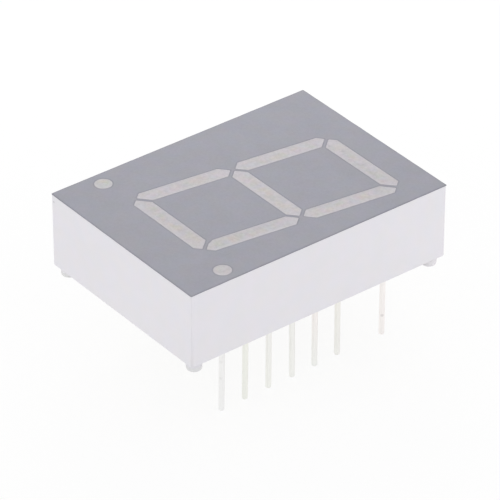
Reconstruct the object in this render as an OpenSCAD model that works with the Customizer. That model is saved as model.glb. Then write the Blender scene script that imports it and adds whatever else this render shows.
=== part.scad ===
// Single-digit seven segment display with two decimal points, for a board with plated holes.
// A moulded housing holds nine tapered light wells, each filled with diffusing epoxy. A small
// board closes the wells from behind and carries a bare light-emitting chip and a bond wire for
// each of them. Epoxy seals the board in, and the leads come out through it.
// The origin is the middle of the lead field, on the plane that the four feet stand on.
// +X is the right of the digit, +Y its top, and +Z points out of its face.

/* [Housing] */
// From a row of leads to the side of the housing beside it
row_inset = 2.38; // [2:0.02:3.2]
// From the last lead of the longer row to the end of the housing
end_inset = 5.04; // [4.8:0.02:6.6]
// Height of the side walls, from their lower rim to the front
wall_h = 7.25; // [6.4:0.05:10]
// Thickness of the side walls
wall_t = 0.75; // [0.65:0.05:0.8]
// Radius of the four upright corners
corner_r = 0.3; // [0.1:0.05:0.6]
// Thickness of the front plate between the wells
front_t = 1.0; // [0.7:0.05:1.4]
// Width of the ledge that the board is pushed up against
ledge_w = 0.35; // [0.2:0.05:0.5]
// Thickness of the grey coat on the front
coat_t = 0.05; // [0.03:0.01:0.1]

/* [Feet] */
// Diameter of a foot and of the post that carries it
foot_d = 1.4; // [1:0.05:1.6]
// Height of the feet below the rim of the walls
foot_h = 1.0; // [0.5:0.05:2]
// Middle of a foot from the two faces nearest to it
foot_inset = 1.0; // [0.9:0.05:1.2]
// Radius of the rounded edge at the end of a foot
foot_round = 0.25; // [0.1:0.05:0.35]
// How far the base of a foot spreads on the rim of the walls
foot_flare = 0.22; // [0.1:0.02:0.26]

/* [Digit] */
// Between the middles of the two upright strokes
digit_w = 9.54; // [9:0.02:9.8]
// Between the middles of the top and bottom strokes
digit_h = 18.8; // [17:0.1:19.6]
// Middle of the digit from the middle of the housing, to the right
digit_right = 1.4; // [0.8:0.05:1.6]
// Middle of the digit from the middle of the housing, upwards
digit_up = 0.82; // [0.4:0.02:1.2]
// Width of the level strokes
level_stroke = 1.55; // [1.2:0.01:1.8]
// Width of the upright strokes, measured level
upright_stroke = 1.55; // [1.2:0.01:1.8]
// Lean of the upright strokes to the right, in degrees
lean = 7.7; // [0:0.1:10]
// Gap between two neighbouring segments, square across it
segment_gap = 0.34; // [0.2:0.01:0.5]
// How far the two blunt corners of the digit, which are cut off, lie outside the strokes' middles
blunt_reach = 0.21; // [0.1:0.01:0.4]
// The same for the two corners that the lean makes sharp
sharp_reach = 0.1; // [0:0.01:0.3]

/* [Decimal points] */
// Diameter of a point on the face
point_d = 1.6; // [1.2:0.01:1.8]
// Middle of a point from the side of the housing
point_side = 1.55; // [1.5:0.05:1.8]
// Middle of a point from the lower end of the housing
point_end = 4.5; // [4.3:0.05:4.6]

/* [Light wells] */
// Wall left round each well
web_t = 0.55; // [0.4:0.05:0.7]
// Height of the straight part below the front
land_h = 0.6; // [0.3:0.05:1]
// Length of a segment's well at the board
cup_l = 2.6; // [2:0.1:3.4]
// Width of a segment's well at the board
cup_w = 1.1; // [0.9:0.05:1.3]
// Diameter of a point's well at the board
point_cup_d = 1.0; // [0.96:0.01:1.1]
// Height of the straight part round the chip
cup_h = 0.8; // [0.75:0.05:1.5]

/* [Board and seal] */
// Thickness of the board
board_t = 1.2; // [0.8:0.1:1.6]
// Gap between the edge of the board and the housing
board_gap = 0.1; // [0.05:0.01:0.15]
// Thickness of the epoxy seal behind the board
seal_t = 1.35; // [1:0.05:2]
// Depth of the seal's surface inside the rim of the walls
seal_recess = 0.2; // [0.1:0.05:0.25]

/* [Copper] */
// Thickness of the copper
copper_t = 0.04; // [0.02:0.01:0.07]
// Width of a track
track_w = 0.3; // [0.2:0.02:0.34]
// Diameter of the land round a lead
land_d = 1.5; // [1.3:0.05:1.7]
// Diameter of the copper stud that joins the two sides
via_d = 0.26; // [0.2:0.01:0.28]
// Side of the square pad under a chip
die_pad_w = 0.4; // [0.36:0.01:0.42]
// Diameter of the pad under the end of a bond wire
bond_pad_d = 0.34; // [0.3:0.01:0.36]

/* [Chips and wires] */
// Side of a chip, seen from the front
chip_w = 0.3; // [0.24:0.01:0.34]
// Height of a chip
chip_h = 0.22; // [0.15:0.01:0.3]
// Diameter of a bond wire
wire_d = 0.04; // [0.03:0.005:0.06]
// From a segment's chip to its bond pad
segment_span = 0.8; // [0.7:0.02:0.9]
// From a point's chip to its bond pad
point_span = 0.46; // [0.44:0.01:0.5]

/* [Leads] */
// Diameter of a lead
lead_d = 0.52; // [0.42:0.01:0.54]
// Spacing of the leads along a row
lead_pitch = 2.54; // [2.5:0.02:2.6]
// Spacing of the two rows
row_space = 15.24; // [14.8:0.02:15.4]
// Length of a lead below the feet
lead_below = 6.9; // [3:0.1:14]
// Radius of the rounded edge at the end of a lead
tip_r = 0.14; // [0.05:0.01:0.18]
// Side of the square shank that is pressed into the board
shank_w = 0.56; // [0.54:0.01:0.6]
// How deep in the seal the shank begins
shank_cover = 0.05; // [0.02:0.01:0.08]
// Clearance of a hole in the board round the corners of a shank
hole_clearance = 0.02; // [0.01:0.01:0.04]
// Diameter of a solder joint where it meets the board
solder_d = 1.2; // [1:0.05:1.3]
// Height of a solder joint
solder_h = 0.6; // [0.4:0.05:0.8]

/* [Hidden] */
$fn = 48;
over = 0.1;

SEGMENTS = ["a", "b", "c", "d", "e", "f", "g"];
POINTS = ["left", "right"];
WELLS = concat(SEGMENTS, POINTS);
// The fitted positions of an eighteen-position package, counted down the left and up the right
LEFT_LEADS = [2, 3, 4, 5, 6, 7];
RIGHT_LEADS = [10, 11, 12, 13, 14, 15, 17];
LEADS = concat(LEFT_LEADS, RIGHT_LEADS);
// Position 10 is the lowest of the right row, and the last of the left row lies across from it
function is_left(n) = n < min(RIGHT_LEADS);
function row_step(n) = is_left(n) ? min(RIGHT_LEADS) - 1 - n : n - min(RIGHT_LEADS);
last_step = max([for (n = LEADS) row_step(n)]);

// Size of the housing over its walls
housing_w = row_space + 2 * row_inset;
housing_l = last_step * lead_pitch + 2 * end_inset;

// Heights
rim_z = foot_h;
front_z = rim_z + wall_h;
face_z = front_z + coat_t;
seal_z = rim_z + seal_recess;
board_back_z = seal_z + seal_t;
back_copper_z = board_back_z - copper_t;
board_front_z = board_back_z + board_t;
seat_z = board_front_z + copper_t;
cup_z = seat_z + cup_h;
land_z = front_z - land_h;
shank_z = seal_z + shank_cover;
tip_z = -lead_below;

// The inside of the walls, and the pocket above the ledge
inner = [housing_w - 2 * wall_t, housing_l - 2 * wall_t];
pocket = [inner.x - 2 * ledge_w, inner.y - 2 * ledge_w];
feet = [for (x = [-1, 1], y = [-1, 1]) [x * (housing_w / 2 - foot_inset), y * (housing_l / 2 - foot_inset)]];
hole_d = shank_w * sqrt(2) + 2 * hole_clearance;

// ---- Outlines of the segments ----

// Each bar: [lies level, its middle line, its outward side, start, end, reach of its start and end].
// An end reaches out past the crossing of the middles at a corner, and stays short of it elsewhere.
function bar(s) =
    let (x = digit_w / 2, y = digit_h / 2, short = -segment_gap / 2)
    s == "a" ? [true, y, 1, -x, x, blunt_reach, sharp_reach] :
    s == "b" ? [false, x, 1, 0, y, short, sharp_reach] :
    s == "c" ? [false, x, 1, -y, 0, blunt_reach, short] :
    s == "d" ? [true, -y, -1, -x, x, sharp_reach, blunt_reach] :
    s == "e" ? [false, -x, -1, -y, 0, sharp_reach, short] :
    s == "f" ? [false, -x, -1, 0, y, short, blunt_reach] :
    [true, 0, 1, -x, x, short, short];

// A point of a bar, given along it and outwards across it, in the leaning digit
function leaning(b, p) =
    let (q = b[0] ? [p.x, b[1] + b[2] * p.y] : [b[1] + b[2] * p.y, p.x])
    [digit_right + q.x + q.y * tan(lean), digit_up + q.y];

function area_sign(ring) =
    let (n = len(ring))
    [for (i = [0:n - 1]) cross(ring[i], ring[(i + 1) % n])] * [for (i = [1:n]) 1];
function anticlockwise(ring) =
    area_sign(ring) > 0 ? ring : [for (i = [len(ring) - 1:-1:0]) ring[i]];

// A segment on the face: a bar with 45 degree mitres towards its neighbours and cut outer corners.
// A mitre or a cut corner moves by root two times as much along the bar as square to itself.
function outline(s, grow = 0) =
    let (
        b = bar(s),
        w = (b[0] ? level_stroke : upright_stroke) / 2 + grow,
        mitre = (segment_gap / 2 - grow) * sqrt(2),
        start = (b[5] + grow) * sqrt(2),
        end = (b[6] + grow) * sqrt(2)
    )
    anticlockwise([for (p = [
        [b[3] + w + mitre, -w],
        [b[4] - w - mitre, -w],
        [b[4] + (end - mitre) / 2, (end + mitre) / 2],
        [b[4] + end - w, w],
        [b[3] - start + w, w],
        [b[3] - (start - mitre) / 2, (start + mitre) / 2]
    ]) leaning(b, p)]);

// The same well where it meets the board: a short bar with pointed ends round the chip
function cup(s, grow = 0) =
    let (
        b = bar(s),
        middle = (b[3] + b[4]) / 2,
        w = cup_w / 2 + grow,
        tip = cup_l / 2 + grow * sqrt(2),
        side = tip - w
    )
    anticlockwise([for (p = [
        [middle - side, -w],
        [middle + side, -w],
        [middle + tip, 0],
        [middle + side, w],
        [middle - side, w],
        [middle - tip, 0]
    ]) leaning(b, p)]);

// ---- Places on the board ----

function is_point(s) = s == "left" || s == "right";
function point_at(s) = [(s == "left" ? -1 : 1) * (housing_w / 2 - point_side), point_end - housing_l / 2];

// A place in a well, measured along a segment from its middle, or outwards from the middle of a point
function spot(s, along) =
    is_point(s)
        ? point_at(s) + [(s == "left" ? -1 : 1) * along, 0]
        : let (b = bar(s)) leaning(b, [(b[3] + b[4]) / 2 + along, 0]);

// The chip lies towards the end that the common track comes from
function chip_end(s) = (is_point(s) || s == "a" || s == "b") ? 1 : -1;
function span(s) = is_point(s) ? point_span : segment_span;
function chip_at(s) = spot(s, chip_end(s) * span(s) / 2);
function bond_at(s) = spot(s, -chip_end(s) * span(s) / 2);

function lead_at(n) = [(is_left(n) ? -1 : 1) * row_space / 2, (row_step(n) - last_step / 2) * lead_pitch];

// Common net on the front of the board, as pairs of places that a track joins
RISE_RIGHT = [chip_at("right").x, lead_at(12).y];
RISE_LEFT = [chip_at("left").x, lead_at(6).y];
COMMON_LEADS = [4, 6, 12, 17];
function is_common(n) = len([for (c = COMMON_LEADS) if (c == n) c]) > 0;
COMMON_TRACKS = [
    [lead_at(17), chip_at("b")], [lead_at(17), chip_at("a")], [chip_at("a"), chip_at("f")],
    [chip_at("f"), lead_at(4)], [chip_at("f"), chip_at("g")], [chip_at("g"), chip_at("e")],
    [chip_at("e"), lead_at(6)], [chip_at("e"), chip_at("d")], [chip_at("d"), chip_at("c")],
    [chip_at("c"), lead_at(12)], [lead_at(12), RISE_RIGHT], [RISE_RIGHT, chip_at("right")],
    [lead_at(6), RISE_LEFT], [RISE_LEFT, chip_at("left")]
];
// Each well's own net on the back of the board, from its bond pad to its lead
SIGNALS = [
    ["a", 2], ["b", 15], ["c", 13], ["d", 11], ["e", 5], ["f", 3], ["g", 14], ["left", 7], ["right", 10]
];

// ---- Shapes that repeat ----

module slab(size, low, high) {
    translate([-size.x / 2, -size.y / 2, low]) cube([size.x, size.y, high - low]);
}

module rounded_rectangle(size, r) {
    square([size.x - 2 * r, size.y], center = true);
    square([size.x, size.y - 2 * r], center = true);
    for (x = [-1, 1], y = [-1, 1]) translate([x * (size.x / 2 - r), y * (size.y / 2 - r)]) circle(r);
}

// A solid between rings of points, each at its own height and all with the same number of points
module loft(rings, heights) {
    n = len(rings[0]);
    last = len(rings) - 1;
    polyhedron(
        [for (i = [0:last]) for (p = rings[i]) [p.x, p.y, heights[i]]],
        concat(
            [[for (j = [0:n - 1]) j]],
            [for (i = [0:last - 1]) for (j = [0:n - 1])
                let (p = i * n + j, q = i * n + (j + 1) % n)
                each [[p, p + n, q], [q, p + n, q + n]]],
            [[for (j = [n - 1:-1:0]) last * n + j]]
        )
    );
}

// A light well as a solid, or its outside when it is grown by the web
module well(s, low, high, grow = 0) {
    if (is_point(s))
        translate(point_at(s)) rotate_extrude() polygon([
            [0, low], [point_cup_d / 2 + grow, low], [point_cup_d / 2 + grow, cup_z],
            [point_d / 2 + grow, land_z], [point_d / 2 + grow, high], [0, high]
        ]);
    else
        loft([cup(s, grow), cup(s, grow), outline(s, grow), outline(s, grow)], [low, cup_z, land_z, high]);
}

// What shows of a well on the face
module window(s) {
    if (is_point(s))
        translate(point_at(s)) circle(d = point_d);
    else
        polygon(outline(s));
}

module track(from, to) {
    way = to - from;
    translate(from) rotate(atan2(way.y, way.x)) translate([0, -track_w / 2]) cube([norm(way), track_w, copper_t]);
    translate(from) cylinder(d = track_w, h = copper_t);
    translate(to) cylinder(d = track_w, h = copper_t);
}

module posts(grow, low, high) {
    for (f = feet) translate([f.x, f.y, low]) cylinder(d = foot_d + 2 * grow, h = high - low);
}

// Half the profile of a round bar: its lower end is flat in the middle and rounded at the edge
module rounded_bar(d, round_r, low, high) {
    r = d / 2;
    translate([0, low]) square([r - round_r, high - low]);
    translate([0, low + round_r]) square([r, high - low - round_r]);
    intersection() {
        translate([r - round_r, low + round_r]) circle(round_r);
        translate([0, low]) square([r, round_r]);
    }
}

// The conical base that spreads from a foot to the rim, on the wall's side of the foot alone
module flares() intersection() {
    for (f = feet) translate([f.x, f.y, rim_z - foot_flare])
        cylinder(d1 = foot_d, d2 = foot_d + 2 * foot_flare + 2 * over, h = foot_flare + over);
    difference() {
        slab([housing_w, housing_l], rim_z - foot_flare, rim_z + over);
        slab(inner, rim_z - foot_flare - over, rim_z + 2 * over);
    }
}

module shank(n, low, high) {
    translate(concat(lead_at(n), [(low + high) / 2])) cube([shank_w, shank_w, high - low], center = true);
}

module shanks(low, high) {
    for (n = LEADS) shank(n, low, high);
}

module solder_cones() {
    for (n = LEADS) translate(concat(lead_at(n), [back_copper_z - solder_h]))
        cylinder(d1 = hole_d, d2 = solder_d, h = solder_h);
}

// The lands and tracks on the back of the board
module back_tracks() {
    translate([0, 0, back_copper_z]) {
        for (n = LEADS) translate(lead_at(n)) cylinder(d = land_d, h = copper_t);
        for (net = SIGNALS) track(bond_at(net[0]), lead_at(net[1]));
    }
}

// ---- The pieces ----

// One moulding: walls, front plate, the nine wells' webs, and the posts that end in the feet
module housing() color("#E3E2E8") difference() {
    union() {
        difference() {
            translate([0, 0, rim_z]) linear_extrude(wall_h) rounded_rectangle([housing_w, housing_l], corner_r);
            slab(inner, rim_z - over, seat_z);
            slab(pocket, seat_z - over, front_z - front_t);
        }
        for (s = WELLS) well(s, seat_z, front_z - front_t / 2, web_t);
        for (f = feet) translate(f) rotate_extrude() rounded_bar(foot_d, foot_round, 0, front_z - front_t / 2);
        flares();
    }
    for (s = WELLS) well(s, seat_z - over, front_z + over);
}

module face_coat() color("#A3A4AC") translate([0, 0, front_z]) linear_extrude(coat_t) difference() {
    rounded_rectangle([housing_w, housing_l], corner_r);
    for (s = WELLS) window(s);
}

// The diffusing epoxy in a well, cast round the chip, its wire and the copper under them
module fill(s) color("#C9C6C7") difference() {
    well(s, board_front_z, face_z);
    chip_body(s);
    wire_body(s);
    front_copper_body();
}

module circuit_board() color("#C7CBA6") difference() {
    slab([inner.x - 2 * board_gap, inner.y - 2 * board_gap], board_back_z, board_front_z);
    posts(board_gap, board_back_z - over, board_front_z + over);
    for (n = LEADS) translate(concat(lead_at(n), [board_back_z - over]))
        cylinder(d = hole_d, h = board_t + 2 * over);
    for (s = WELLS) translate(concat(bond_at(s), [board_back_z - over]))
        cylinder(d = via_d, h = board_t + 2 * over);
}

module front_copper_body() difference() {
    translate([0, 0, board_front_z]) {
        for (t = COMMON_TRACKS) track(t[0], t[1]);
        for (n = COMMON_LEADS) translate(lead_at(n)) cylinder(d = land_d, h = copper_t);
        for (s = WELLS) {
            translate(chip_at(s) - [die_pad_w, die_pad_w] / 2) cube([die_pad_w, die_pad_w, copper_t]);
            translate(bond_at(s)) cylinder(d = bond_pad_d, h = copper_t);
        }
    }
    for (n = COMMON_LEADS) shank(n, board_front_z - over, seat_z + over);
}

module front_copper() color("#C58A55") front_copper_body();

module back_copper() color("#C58A55") {
    difference() {
        back_tracks();
        shanks(seal_z, board_back_z + over);
    }
    for (s = WELLS) translate(concat(bond_at(s), [back_copper_z])) cylinder(d = via_d, h = board_t + copper_t);
}

module chip_body(s) {
    translate(concat(chip_at(s), [seat_z + chip_h / 2])) cube([chip_w, chip_w, chip_h], center = true);
}

module led_chip(s) color("#7E4A43") chip_body(s);

// Half a turn from the top of the chip, and a straight leg down to the bond pad
module wire_body(s) {
    way = bond_at(s) - chip_at(s);
    reach = norm(way);
    translate(concat(chip_at(s), [seat_z])) rotate(atan2(way.y, way.x)) {
        translate([reach / 2, 0, chip_h]) rotate([90, 0, 0])
            rotate_extrude(angle = 180) translate([reach / 2, 0]) circle(d = wire_d);
        translate([reach, 0, 0]) cylinder(d = wire_d, h = chip_h);
    }
}

module bond_wire(s) color("#D8B35A") wire_body(s);

module solder_joints() color("#B9BCC0") difference() {
    solder_cones();
    shanks(seal_z, board_back_z + over);
}

// A round lead with a square shank that is pressed through the board. A lead of the common net
// ends level with its land on the front, and any other ends level with the board.
module lead(n) color("#CDCED1") {
    translate(lead_at(n)) rotate_extrude() rounded_bar(lead_d, tip_r, tip_z, shank_z);
    shank(n, shank_z, is_common(n) ? seat_z : board_front_z);
}

module seal() color("#DEDBD2") difference() {
    slab(inner, seal_z, board_back_z);
    posts(0, seal_z - over, board_back_z + over);
    for (n = LEADS) translate(concat(lead_at(n), [seal_z - over])) cylinder(d = lead_d, h = over + shank_cover);
    shanks(shank_z, board_back_z + over);
    solder_cones();
    back_tracks();
}

function lead_name(n) = str("lead_", n < 10 ? "0" : "", n);
function fill_name(s) = is_point(s) ? str("decimal_point_", s) : str("segment_", s);
function chip_name(s) = str("led_chip_", s);
function wire_name(s) = str("bond_wire_", s);

housing();
face_coat();
circuit_board();
front_copper();
back_copper();
solder_joints();
seal();
for (s = WELLS) {
    fill(s);
    led_chip(s);
    bond_wire(s);
}
for (n = LEADS) lead(n);
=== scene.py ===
"""Gives a packed seven segment display its finish: a moulded housing with a printed grey face,
nine windows of cast epoxy, thirteen tinned leads and an epoxy seal behind the circuit board.

Lengths in the functions below are in millimetres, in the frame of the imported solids: the origin
is the middle of the lead field, on the plane of the feet, and +Z points out of the face."""

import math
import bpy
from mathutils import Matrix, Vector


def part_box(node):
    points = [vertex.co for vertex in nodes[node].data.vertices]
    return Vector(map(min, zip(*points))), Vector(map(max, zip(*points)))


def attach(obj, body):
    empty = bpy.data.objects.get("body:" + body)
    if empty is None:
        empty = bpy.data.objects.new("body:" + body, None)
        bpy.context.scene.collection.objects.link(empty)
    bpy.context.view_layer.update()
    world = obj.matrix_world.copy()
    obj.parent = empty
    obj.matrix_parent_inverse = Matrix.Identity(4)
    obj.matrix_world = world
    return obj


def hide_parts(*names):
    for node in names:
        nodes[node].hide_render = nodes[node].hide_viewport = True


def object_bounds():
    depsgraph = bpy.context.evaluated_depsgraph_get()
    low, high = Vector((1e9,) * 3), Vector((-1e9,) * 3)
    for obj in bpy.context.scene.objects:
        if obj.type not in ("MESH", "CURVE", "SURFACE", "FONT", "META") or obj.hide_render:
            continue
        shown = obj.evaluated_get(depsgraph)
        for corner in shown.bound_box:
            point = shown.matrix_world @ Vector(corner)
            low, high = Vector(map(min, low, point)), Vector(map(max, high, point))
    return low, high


bl_info = {
    "name": "Seven Segment Display",
    "version": (1, 0, 0),
    "blender": (4, 5, 0),
    "location": "View3D > Sidebar > Display",
    "description": "Builds the finish of a moulded seven segment display round its packed solids",
    "category": "Object",
}

import bpy
import numpy as np
from bpy.props import FloatProperty, FloatVectorProperty, PointerProperty
from mathutils import Quaternion, Vector, geometry

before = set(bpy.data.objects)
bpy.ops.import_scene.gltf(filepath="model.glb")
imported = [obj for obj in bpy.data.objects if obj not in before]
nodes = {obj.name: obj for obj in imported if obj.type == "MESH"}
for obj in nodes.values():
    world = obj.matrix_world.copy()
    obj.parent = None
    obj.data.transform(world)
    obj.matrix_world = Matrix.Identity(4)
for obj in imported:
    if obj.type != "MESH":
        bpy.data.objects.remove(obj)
cad_low, cad_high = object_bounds()

MM = 0.001
GOLDEN_ANGLE = 2.39996
# How many points are compared with every edge or triangle at once, so that memory stays small.
AT_ONCE = 500


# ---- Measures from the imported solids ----

# Corners this close in height are of one level, and corners this close together are one.
LEVEL = 0.002
NEAR = 0.01


def box(name):
    """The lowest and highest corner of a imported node."""
    low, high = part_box(name)
    return np.array(low) / MM, np.array(high) / MM


def node_points(name):
    """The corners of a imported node's mesh."""
    mesh = nodes[name].data
    flat = np.empty(len(mesh.vertices) * 3, np.float32)
    mesh.vertices.foreach_get("co", flat)
    return flat.reshape(-1, 3).astype(float) / MM


def corner_ring(points, height):
    """The corners that a convex fill has at one height, anticlockwise from its rightmost one."""
    level = points[np.abs(points[:, 2] - height) < LEVEL, :2]
    level = np.unique(level.round(3), axis=0)
    spread = level - level.mean(0)
    level = level[np.argsort(np.arctan2(spread[:, 1], spread[:, 0]))]
    level = level[np.linalg.norm(level - np.roll(level, 1, 0), axis=1) > NEAR]
    return np.roll(level, -np.argmax(level[:, 0]), 0)


# ---- Outlines ----

def unit(vectors):
    """Each vector over its own length."""
    return vectors / np.linalg.norm(vectors, axis=-1, keepdims=True)


def rounded_ring(corners, inset, radius, per_corner=7):
    """A convex outline moved inwards, with an arc at each corner. The middle of an arc lies on
    the corner's bisector, at (inset + radius) / sin(half the corner's angle) from the corner."""
    ahead = unit(np.roll(corners, -1, 0) - corners)
    behind = unit(np.roll(corners, 1, 0) - corners)
    bisector = unit(ahead + behind)
    sine = np.abs(bisector[:, 0] * ahead[:, 1] - bisector[:, 1] * ahead[:, 0])
    middle = corners + bisector * ((inset + radius) / sine)[:, None]
    first = np.arctan2(behind[:, 0], -behind[:, 1])
    turn = (np.arctan2(-ahead[:, 0], ahead[:, 1]) - first) % (2 * np.pi)
    angle = first[:, None] + turn[:, None] * np.linspace(0, 1, per_corner)
    arc = np.stack([np.cos(angle), np.sin(angle)], -1) * radius
    return (middle[:, None] + arc).reshape(-1, 2)


def circle(middle, radius, count):
    """Points at equal angles round a middle."""
    angle = np.arange(count) * 2 * np.pi / count
    return np.array(middle) + radius * np.stack([np.cos(angle), np.sin(angle)], -1)


def divided(loop, step):
    """A closed loop with points added along its longer edges, at most a step apart."""
    ends = np.roll(loop, -1, 0)
    counts = np.ceil(np.linalg.norm(ends - loop, axis=1) / step).astype(int).clip(1)
    edge = np.repeat(np.arange(len(loop)), counts)
    first = np.cumsum(counts) - counts
    share = (np.arange(counts.sum()) - first[edge]) / counts[edge]
    return loop[edge] + (ends[edge] - loop[edge]) * share[:, None]


def inside(loop, points):
    """Whether points lie in a loop: a level ray from each crosses it an odd number of times."""
    x, y = points[:, :1], points[:, 1:]
    (x0, y0), (x1, y1) = loop.T, np.roll(loop, -1, 0).T
    rise = np.where(y1 == y0, 1.0, y1 - y0)
    crossed = ((y0 > y) != (y1 > y)) & (x < x0 + (y - y0) * (x1 - x0) / rise)
    return crossed.sum(1) % 2 == 1


def distance(loops, points):
    """The distance from each point to the nearest edge of the loops."""
    start = np.concatenate(loops)
    way = np.concatenate([np.roll(loop, -1, 0) for loop in loops]) - start
    nearest = np.full(len(points), np.inf)
    for part in np.array_split(np.arange(len(points)), 1 + len(points) // AT_ONCE):
        gap = points[part, None] - start
        share = ((gap * way).sum(-1) / (way ** 2).sum(-1)).clip(0, 1)
        nearest[part] = np.linalg.norm(gap - share[..., None] * way, axis=-1).min(1)
    return nearest


def backed(points, name):
    """Whether points have a node behind them, seen from below: each lies on the inner side of
    all three edges of one of its triangles that face down."""
    mesh = nodes[name].data
    order = np.empty(len(mesh.loops), np.int32)
    mesh.loops.foreach_get("vertex_index", order)
    start = node_points(name)[order.reshape(-1, 3), :2]
    way = np.roll(start, -1, 1) - start
    down = way[:, 0, 0] * way[:, 1, 1] - way[:, 0, 1] * way[:, 1, 0] < -1e-9
    found = np.zeros(len(points), bool)
    for part in np.array_split(np.arange(len(points)), 1 + len(points) // AT_ONCE):
        gap = points[part, None, None] - start[down]
        side = way[down, :, 0] * gap[..., 1] - way[down, :, 1] * gap[..., 0]
        found[part] = (side <= 0).all(-1).any(-1)
    return found


def unevenness(x, y, size):
    """Five sine waves, each a golden angle round from the last and 0.17 of a size longer, over
    five: from -1 to 1."""
    total = 0
    for k in range(5):
        along = x * math.cos(GOLDEN_ANGLE * k) + y * math.sin(GOLDEN_ANGLE * k)
        total = total + np.sin(along * 2 * np.pi / (size * (1 + 0.17 * k)) + 1.7 * k)
    return total / 5


# ---- Surfaces ----

def at_height(ring, z):
    """A flat ring of points at a height."""
    return np.column_stack([ring, np.full(len(ring), z)])


def skin(rings):
    """A closed skin through rings of points, anticlockwise about the way they follow each other.
    Ring and place in the ring are its two parameters, and each end is a fan to its middle."""
    count, around = rings.shape[:2]
    points = np.concatenate([rings.reshape(-1, 3), rings[:1].mean(1), rings[-1:].mean(1)])
    row = np.arange(count - 1)[:, None] * around
    here = np.arange(around)
    there = (here + 1) % around
    sides = np.stack([row + here, row + there, row + around + there, row + around + here], -1)
    last = (count - 1) * around
    low = np.stack([there, here, np.full(around, count * around)], -1)
    high = np.stack([last + here, last + there, np.full(around, count * around + 1)], -1)
    return points, sides.reshape(-1, 4).tolist() + low.tolist() + high.tolist()


def region(loops, free):
    """Triangles of the region inside the first loop and outside the others, through free points."""
    edges, first = [], 0
    for loop in loops:
        here = first + np.arange(len(loop))
        edges += np.stack([here, np.roll(here, -1)], -1).tolist()
        first += len(loop)
    points = np.concatenate([*loops, free]).tolist()
    corners, _, triangles, *_ = geometry.delaunay_2d_cdt(points, edges, [], 0, 1e-6)
    corners, triangles = np.array(corners), np.array(triangles)
    a, b, c = (corners[triangles[:, k]] for k in range(3))
    turned = (b - a)[:, 0] * (c - a)[:, 1] - (b - a)[:, 1] * (c - a)[:, 0] < 0
    triangles[turned] = triangles[turned][:, ::-1]
    kept = inside(loops[0], (a + b + c) / 3)
    for hole in loops[1:]:
        kept &= ~inside(hole, (a + b + c) / 3)
    return corners, triangles[kept]


def slab_mesh(corners, triangles, low, high):
    """A body over a flat region: the region at a low and at a high height for each of its
    corners, and a wall along each edge that only one triangle has."""
    count = len(corners)
    edges = np.concatenate([triangles[:, [k, (k + 1) % 3]] for k in range(3)])
    code, back = edges[:, 0] * count + edges[:, 1], edges[:, 1] * count + edges[:, 0]
    a, b = edges[~np.isin(code, back)].T
    points = np.concatenate([np.column_stack([corners, high]), np.column_stack([corners, low])])
    walls = np.stack([b, a, a + count, b + count], -1)
    faces = triangles.tolist() + (triangles[:, ::-1] + count).tolist() + walls.tolist()
    return points, faces


def new_object(name, data):
    """An object in the scene, at the origin."""
    made = bpy.data.objects.new(name, data)
    bpy.context.scene.collection.objects.link(made)
    return made


def add_piece(name, points, faces, material, replaced, crease=35):
    """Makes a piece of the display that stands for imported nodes. Where its faces turn by more
    than the crease, in degrees, its shading has an edge."""
    mesh = bpy.data.meshes.new(name)
    mesh.from_pydata((points * MM).tolist(), [], faces)
    mesh.materials.append(material)
    mesh.shade_smooth()
    mesh.set_sharp_from_angle(angle=math.radians(crease))
    piece = new_object(name, mesh)
    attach(piece, "root")
    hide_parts(*replaced)
    return piece


def paint(piece, name, values):
    """Keeps a number, or a red, green and blue, for each corner of a piece, for its material."""
    values = np.asarray(values, np.float32)
    if values.ndim == 1:
        piece.data.attributes.new(name, "FLOAT", "POINT").data.foreach_set("value", values)
    else:
        values = np.column_stack([values, np.ones(len(values), np.float32)]).ravel()
        piece.data.attributes.new(name, "FLOAT_COLOR", "POINT").data.foreach_set("color", values)


# ---- How finely the surfaces are drawn ----

# Rows of points follow the edges of the ink and of the seal, at these distances. A point of a row
# is left out where another edge is nearer than this share of the row's own distance.
INK_ROWS = (0.0, 0.02, 0.05, 0.1, 0.17)
SEAL_ROWS = (0.04, 0.1, 0.2, 0.35, 0.6)
CLEAR = 0.97
# The longest step along a straight edge of the ink, and of the seal.
INK_STEP = 0.35
SEAL_STEP = 0.4
# Points round a decimal point or a post, a lead, and a lead's hole in the seal.
POINT_SIDES = 48
LEAD_SIDES = 32
HOLE_SIDES = 24
# The signs of the four corners of a rectangle about the origin, anticlockwise.
SIGNS = np.array([[-1.0, -1.0], [1.0, -1.0], [1.0, 1.0], [-1.0, 1.0]])


# ---- Marks and casts that the making left ----

# Small round marks: the middle and the radius of each, and the share of the colour left there.
WALL_SPECK = [((-9.58, -13.93, 7.64), 0.15, 0.78)]
EPOXY_CLOTS = [((0.18, 10.23, 8.3), 0.2, 0.82), ((-1.23, 9.83, 8.3), 0.14, 0.88),
               ((4.63, 10.42, 8.3), 0.14, 0.9), ((1.6, 9.8, 8.3), 0.13, 0.9)]
LEAD_PITS = [((7.82, 8.73, -4.41), 0.2, 0.82), ((7.47, -6.53, -4.07), 0.2, 0.88),
             ((7.70, -9.12, -3.39), 0.2, 0.93), ((7.75, -9.1, -1.69), 0.2, 0.94)]
# Where the ink has run into a window, over one of its corners: the corner's number from the
# rightmost one, and how much the ink covers of the edges before and after it.
INK_RUNS = {"segment_c": (3, 0.3, 0.45)}
# How the epoxy of a window differs from the rest in red, green and blue, as it is dosed by hand.
BATCH_TINTS = {
    "segment_a": (0.985, 0.98, 0.985), "segment_b": (1.03, 1.03, 1.03),
    "segment_c": (0.975, 0.98, 0.98), "segment_d": (0.965, 0.97, 0.955),
    "segment_e": (1.005, 0.995, 1.0), "segment_f": (0.99, 0.985, 0.99),
    "segment_g": (1.02, 1.01, 1.0), "decimal_point_left": (1.025, 1.04, 0.95),
    "decimal_point_right": (1.06, 1.007, 0.94),
}
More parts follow.
